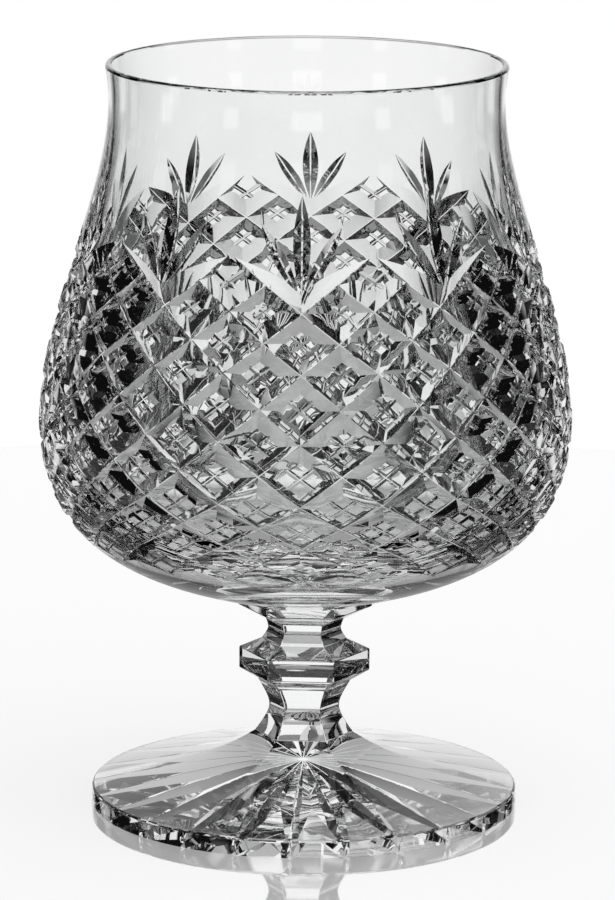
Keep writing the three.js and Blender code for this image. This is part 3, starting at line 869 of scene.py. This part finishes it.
def cut_star(foot, s, radius, turn, keel):
    """Cuts the star into the underside; each pass of the wheel makes two opposite rays."""
    sector = 2 * math.pi / s.rays
    wide = s.star_radius * math.sin(sector / 2)
    narrow = s.ray_end_width / 2
    past = radius + 2 * MM
    reaches = (-past, -s.star_radius, s.star_radius, past)
    taper = (wide - narrow) / (radius - s.star_radius)
    end = wide - taper * (past - s.star_radius)
    widths = (end, wide, wide, end)

    def line_along(direction):
        def line(t):
            place = t * (len(reaches) - 1)
            index = min(int(place), len(reaches) - 2)
            share = place - index
            reach = reaches[index] + (reaches[index + 1] - reaches[index]) * share
            width = widths[index] + (widths[index + 1] - widths[index]) * share
            return direction * reach, Vector((0, 0, -1)), width
        return line

    across = wheel_bar(len(reaches) - 1)
    for ray in range(s.rays // 2):
        line = line_along(polar(turn + ray * sector, 1, 0))
        bar = lay_bar(across, line, (math.tan(s.ray_half_angle), keel))
        cut(foot, joined([bar], "ray"), finish_of("cut_crystal"))
    bpy.data.objects.remove(across)


def cut_nicks(foot, s, radius, turn, keel):
    """Cuts the small nick that each ray leaves in the foot's upright edge."""
    sector = 2 * math.pi / s.rays
    half_width = s.ray_end_width / 2

    def line_up(azimuth):
        def line(t):
            height = FOOT_LOW.z - LIFT + (s.edge + LIFT) * t
            return polar(azimuth, radius, height), polar(azimuth, 1, 0), half_width * (1 - t ** 3)
        return line

    upright = wheel_bar(2)
    wheel = half_width / s.nick_depth, keel
    nicks = [lay_bar(upright, line_up(turn + ray * sector), wheel) for ray in range(s.rays)]
    bpy.data.objects.remove(upright)
    cut(foot, joined(nicks, "nicks"), finish_of("cut_crystal"))


def make_foot(context):
    """Pressed foot with its star cut into the underside."""
    scene = context.scene
    s, stem = scene.foot_sizes, scene.stem_sizes
    rings = foot_rings(s, stem.foot_radius)
    bpy.ops.object.select_all(action="DESELECT")
    bpy.ops.mesh.primitive_circle_add(
        vertices=s.columns, radius=rings[0].x, fill_type="NGON",
        location=(0, 0, FOOT_LOW.z), rotation=(0, 0, stem.turn))
    foot = context.object
    foot.name = "star_foot"
    settle(foot)
    raise_rings(foot, rings)
    draw_in_to_stem(foot, s, stem.turn)
    dress(foot, "blown_crystal", "cut_crystal", "hot_joint")
    mark_joints(foot, (FOOT_HIGH.z,), 2)
    keel = scene.cutting_sizes.keel_width / 2
    cut_star(foot, s, rings[0].x, stem.turn, keel)
    cut_nicks(foot, s, rings[0].x, stem.turn, keel)
    hand_in(foot, "foot")


def times(tree, *values):
    product = values[0]
    for value in values[1:]:
        product = maths(tree, "MULTIPLY", product, value)
    return product


def brightest(tree, *values):
    most = values[0]
    for value in values[1:]:
        most = maths(tree, "MAXIMUM", value, most)
    return most


def below(tree, value, middle, soft):
    """1 below an edge and 0 above it; soft is half the edge's width in degrees."""
    soft = math.radians(soft)
    return ranged(tree, value, middle - soft, middle + soft, 1.0, 0.0)


def above(tree, value, middle, soft):
    """1 above an edge and 0 below it."""
    soft = math.radians(soft)
    return ranged(tree, value, middle - soft, middle + soft)


def between(tree, value, low, high, soft_low, soft_high):
    return times(tree, above(tree, value, low, soft_low), below(tree, value, high, soft_high))


def backdrop_glow(tree, s, azimuth, height):
    """Lit backdrop behind the glass, a little darker to its sides and its top."""
    fade = math.degrees(s.backdrop_fade)
    return times(
        tree,
        below(tree, azimuth, s.backdrop, fade),
        above(tree, height, s.table_edge, HORIZON_SOFT),
        ranged(tree, azimuth, s.backdrop_middle, s.backdrop, 1.0, s.backdrop_sides),
        ranged(tree, height, s.backdrop_top, s.backdrop_top + s.backdrop_top_run, 1.0, s.backdrop_top_glow))


def painted_table_glows(tree, s, azimuth, height):
    """Painted light and shade of the table as the glass shows it, set into the world: behind, close under
    the glass, and in front.
    """
    # painted light: the table behind the glass, brighter steeply below, and dark straight down as painted
    # shade
    behind = times(
        tree,
        below(tree, azimuth, s.table_reach, TABLE_SIDE_SOFT),
        between(tree, height, s.table_foot, s.table_edge, TABLE_SOFT, HORIZON_SOFT),
        ranged(tree, height, s.table_steep_end, s.table_steep, s.table_steep_glow, s.table_glow))
    # painted shade: the table close under the glass, on all sides, at one set level
    near = times(tree, below(tree, height, s.table_near, NEAR_SOFT), s.table_near_glow)
    # painted shade: the table in front of the glass, at a set darker level
    front = times(tree, above(tree, azimuth, s.table_front, TABLE_SOFT),
                  below(tree, height, s.table_edge, TABLE_SOFT), s.table_front_glow)
    return behind, near, front


def slits(tree, s, azimuth):
    """Narrow gaps between the flags, so that the clear glass stays clear from the other sides."""
    gaps = []
    for middle in SLITS:
        half = s.slit * BACK_SLIT_SHARE if middle == 180 else s.slit
        off = maths(tree, "ABSOLUTE", maths(tree, "SUBTRACT", azimuth, math.radians(middle)))
        gaps.append(below(tree, off, half, SLIT_SIDE_SOFT))
    return brightest(tree, *gaps)


def glass_rays(tree, path):
    """1 for what is seen in or through the glass, or in a mirror."""
    return maths(tree, "MAXIMUM", path["Is Glossy Ray"], path["Is Transmission Ray"])


def light_world(s):
    """White to the camera; the glass sees a lit backdrop between black flags, as in a glass studio."""
    world = bpy.data.worlds.new("studio")
    bpy.context.scene.world = world
    world.use_nodes = True
    tree = world.node_tree
    tree.nodes.clear()
    way = add(tree, "ShaderNodeTexCoord").outputs["Generated"]
    split = add(tree, "ShaderNodeSeparateXYZ", {"Vector": way}).outputs
    azimuth = maths(tree, "ABSOLUTE", maths(tree, "ARCTAN2", split["X"], split["Y"]))
    height = maths(tree, "ARCSINE", split["Z"])

    backdrop = backdrop_glow(tree, s, azimuth, height)
    spill = times(tree, below(tree, azimuth, s.spill_width, SPILL_SIDE_SOFT),
                  between(tree, height, s.spill_low, s.spill_high, SPILL_SOFT, SPILL_SOFT), s.spill)
    slit = slits(tree, s, azimuth)
    low_slit = times(tree, slit, between(tree, height, s.slit_low, s.slit_high, SLIT_SOFT, SLIT_SOFT),
                     s.slit_glow)
    # painted reflection: this pale band shows in reflections only, not through the glass
    wall = times(tree, slit, between(tree, height, s.painted_reflection_low, s.painted_reflection_high, SLIT_SOFT, PAINTED_REFLECTION_TOP_SOFT),
                 s.painted_reflection_glow)
    # the table's levels in here are painted light and shade
    seen = brightest(tree, s.dark, backdrop, *painted_table_glows(tree, s, azimuth, height), spill, low_slit)

    path = add(tree, "ShaderNodeLightPath").outputs
    off_surface = maths(tree, "SUBTRACT", path["Is Glossy Ray"], path["Is Transmission Ray"])
    mirrored = brightest(tree, seen, times(tree, wall, off_surface))
    level = add(tree, "ShaderNodeMix", {0: glass_rays(tree, path), 2: s.room, 3: mirrored}).outputs[0]
    level = add(tree, "ShaderNodeMix", {0: path["Is Camera Ray"], 2: level, 3: 1.0}).outputs[0]
    background = add(tree, "ShaderNodeBackground", {"Color": (1, 1, 1, 1), "Strength": level})
    add(tree, "ShaderNodeOutputWorld", {"Surface": background.outputs[0]})


def table_finish(s):
    """Pale glossy table top; what the glass shows of it is mostly in the world's lower half, and far behind
    the glass the table glows to the glass as painted light.
    """
    material, tree = fresh_material("pale_table")
    path = add(tree, "ShaderNodeLightPath").outputs
    lit = add(tree, "ShaderNodeBsdfDiffuse", {"Color": (*s.table, 1)})
    shine = add(tree, "ShaderNodeEmission", {"Color": (1, 1, 1, 1), "Strength": s.table_shine})
    both = add(tree, "ShaderNodeAddShader", {0: lit.outputs[0], 1: shine.outputs[0]})
    mirror = add(tree, "ShaderNodeBsdfGlossy", {"Color": (1, 1, 1, 1), "Roughness": s.table_haze})
    fresnel = add(tree, "ShaderNodeFresnel", {"IOR": 1.5}).outputs[0]
    share = maths(tree, "MULTIPLY", fresnel, s.table_gloss)
    mixed = add(tree, "ShaderNodeMixShader", {0: share, 1: both.outputs[0], 2: mirror.outputs[0]})
    clear = add(tree, "ShaderNodeBsdfTransparent")
    place = add(tree, "ShaderNodeTexCoord").outputs["Object"]
    behind = add(tree, "ShaderNodeSeparateXYZ", {"Vector": place}).outputs["Y"]
    # painted light: far behind the glass the table glows to the glass's rays instead of being lit; nearer it
    # is clear
    far = ranged(tree, behind, s.table_far, s.table_far + s.table_far_run)
    pale = add(tree, "ShaderNodeEmission", {"Color": (1, 1, 1, 1), "Strength": s.table_far_glow})
    through = add(tree, "ShaderNodeMixShader", {0: far, 1: clear.outputs[0], 2: pale.outputs[0]})
    seen = add(tree, "ShaderNodeMixShader", {0: glass_rays(tree, path), 1: mixed.outputs[0],
                                             2: through.outputs[0]})
    add(tree, "ShaderNodeOutputMaterial", {"Surface": seen.outputs[0]})
    return material


def hang_lamp(s):
    """Soft lamp above the table, to the front and the right."""
    bpy.ops.object.light_add(type="AREA", location=LAMP_PLACE, rotation=LAMP_TURN)
    lamp = bpy.context.object
    lamp.name = "soft_light"
    lamp.data.size = s.lamp_size
    lamp.data.energy = s.lamp_power
    lamp.visible_transmission = lamp.visible_glossy = False


def set_camera(scene, s):
    bpy.ops.object.camera_add(
        location=(0, -s.camera_distance, s.camera_height),
        rotation=(math.pi / 2 - s.camera_pitch, 0, 0))
    camera = bpy.context.object
    camera.rotation_euler.rotate_axis("Z", s.camera_roll)
    camera.data.lens = s.focal_length
    camera.data.sensor_width = 36
    camera.data.clip_start = 0.05
    camera.data.shift_x = s.camera_shift
    scene.camera = camera


def make_stage(context):
    """Round pale table, soft overhead light, backdrop and the camera."""
    scene = context.scene
    s = scene.studio_settings
    bpy.ops.object.select_all(action="DESELECT")
    bpy.ops.mesh.primitive_circle_add(vertices=128, radius=s.table_radius, fill_type="NGON")
    table = context.object
    table.name = "table"
    table.data.materials.append(table_finish(s))

    light_world(s)
    hang_lamp(s)
    set_camera(scene, s)

    scene.view_settings.view_transform = "Standard"
    scene.cycles.max_bounces = 32
    scene.cycles.transmission_bounces = 24
    scene.cycles.glossy_bounces = 16
    scene.cycles.transparent_max_bounces = 32


class CRYSTAL_OT_make_bowl(bpy.types.Operator):
    """Blow the bowl and cut its lattice and fans"""
    bl_idname = "crystal.make_bowl"
    bl_label = "Make Cut Bowl"

    def execute(self, context):
        make_bowl(context)
        return {"FINISHED"}


class CRYSTAL_OT_make_stem(bpy.types.Operator):
    """Draw up the six-sided stem with its knop and collar"""
    bl_idname = "crystal.make_stem"
    bl_label = "Make Knopped Stem"

    def execute(self, context):
        make_stem(context)
        return {"FINISHED"}


class CRYSTAL_OT_make_foot(bpy.types.Operator):
    """Press the foot and cut the star under it"""
    bl_idname = "crystal.make_foot"
    bl_label = "Make Star Foot"

    def execute(self, context):
        make_foot(context)
        return {"FINISHED"}


class CRYSTAL_OT_make_stage(bpy.types.Operator):
    """Set up the table, the light and the camera"""
    bl_idname = "crystal.make_stage"
    bl_label = "Make Studio"

    def execute(self, context):
        make_stage(context)
        return {"FINISHED"}


class CRYSTAL_PT_brandy_glass(bpy.types.Panel):
    """Sizes and steps of the brandy glass"""
    bl_idname = "CRYSTAL_PT_brandy_glass"
    bl_label = "Brandy Glass"
    bl_space_type = "VIEW_3D"
    bl_region_type = "UI"
    bl_category = "Brandy Glass"

    def draw(self, context):
        layout = self.layout
        for name in SETTINGS:
            group = getattr(context.scene, name)
            box = layout.box()
            box.label(text=name.replace("_", " ").title())
            for prop in group.bl_rna.properties:
                if prop.identifier not in ("rna_type", "name"):
                    box.prop(group, prop.identifier)
        for operator in OPERATORS:
            layout.operator(operator.bl_idname)


SETTINGS = {
    "bowl_sizes": BowlSizes,
    "cutting_sizes": CuttingSizes,
    "stem_sizes": StemSizes,
    "foot_sizes": FootSizes,
    "crystal_finish": CrystalFinish,
    "studio_settings": StudioSettings,
}
OPERATORS = (CRYSTAL_OT_make_foot, CRYSTAL_OT_make_stem, CRYSTAL_OT_make_bowl, CRYSTAL_OT_make_stage)


def register():
    for group in SETTINGS.values():
        bpy.utils.register_class(group)
    for operator in OPERATORS:
        bpy.utils.register_class(operator)
    bpy.utils.register_class(CRYSTAL_PT_brandy_glass)
    for name, group in SETTINGS.items():
        setattr(bpy.types.Scene, name, PointerProperty(type=group))


def unregister():
    for name in SETTINGS:
        delattr(bpy.types.Scene, name)
    bpy.utils.unregister_class(CRYSTAL_PT_brandy_glass)
    for operator in reversed(OPERATORS):
        bpy.utils.unregister_class(operator)
    for group in reversed(SETTINGS.values()):
        bpy.utils.unregister_class(group)


def main():
    register()
    bpy.ops.crystal.make_foot()
    bpy.ops.crystal.make_stem()
    bpy.ops.crystal.make_bowl()
    bpy.ops.crystal.make_stage()


if __name__ == "__main__":
    main()
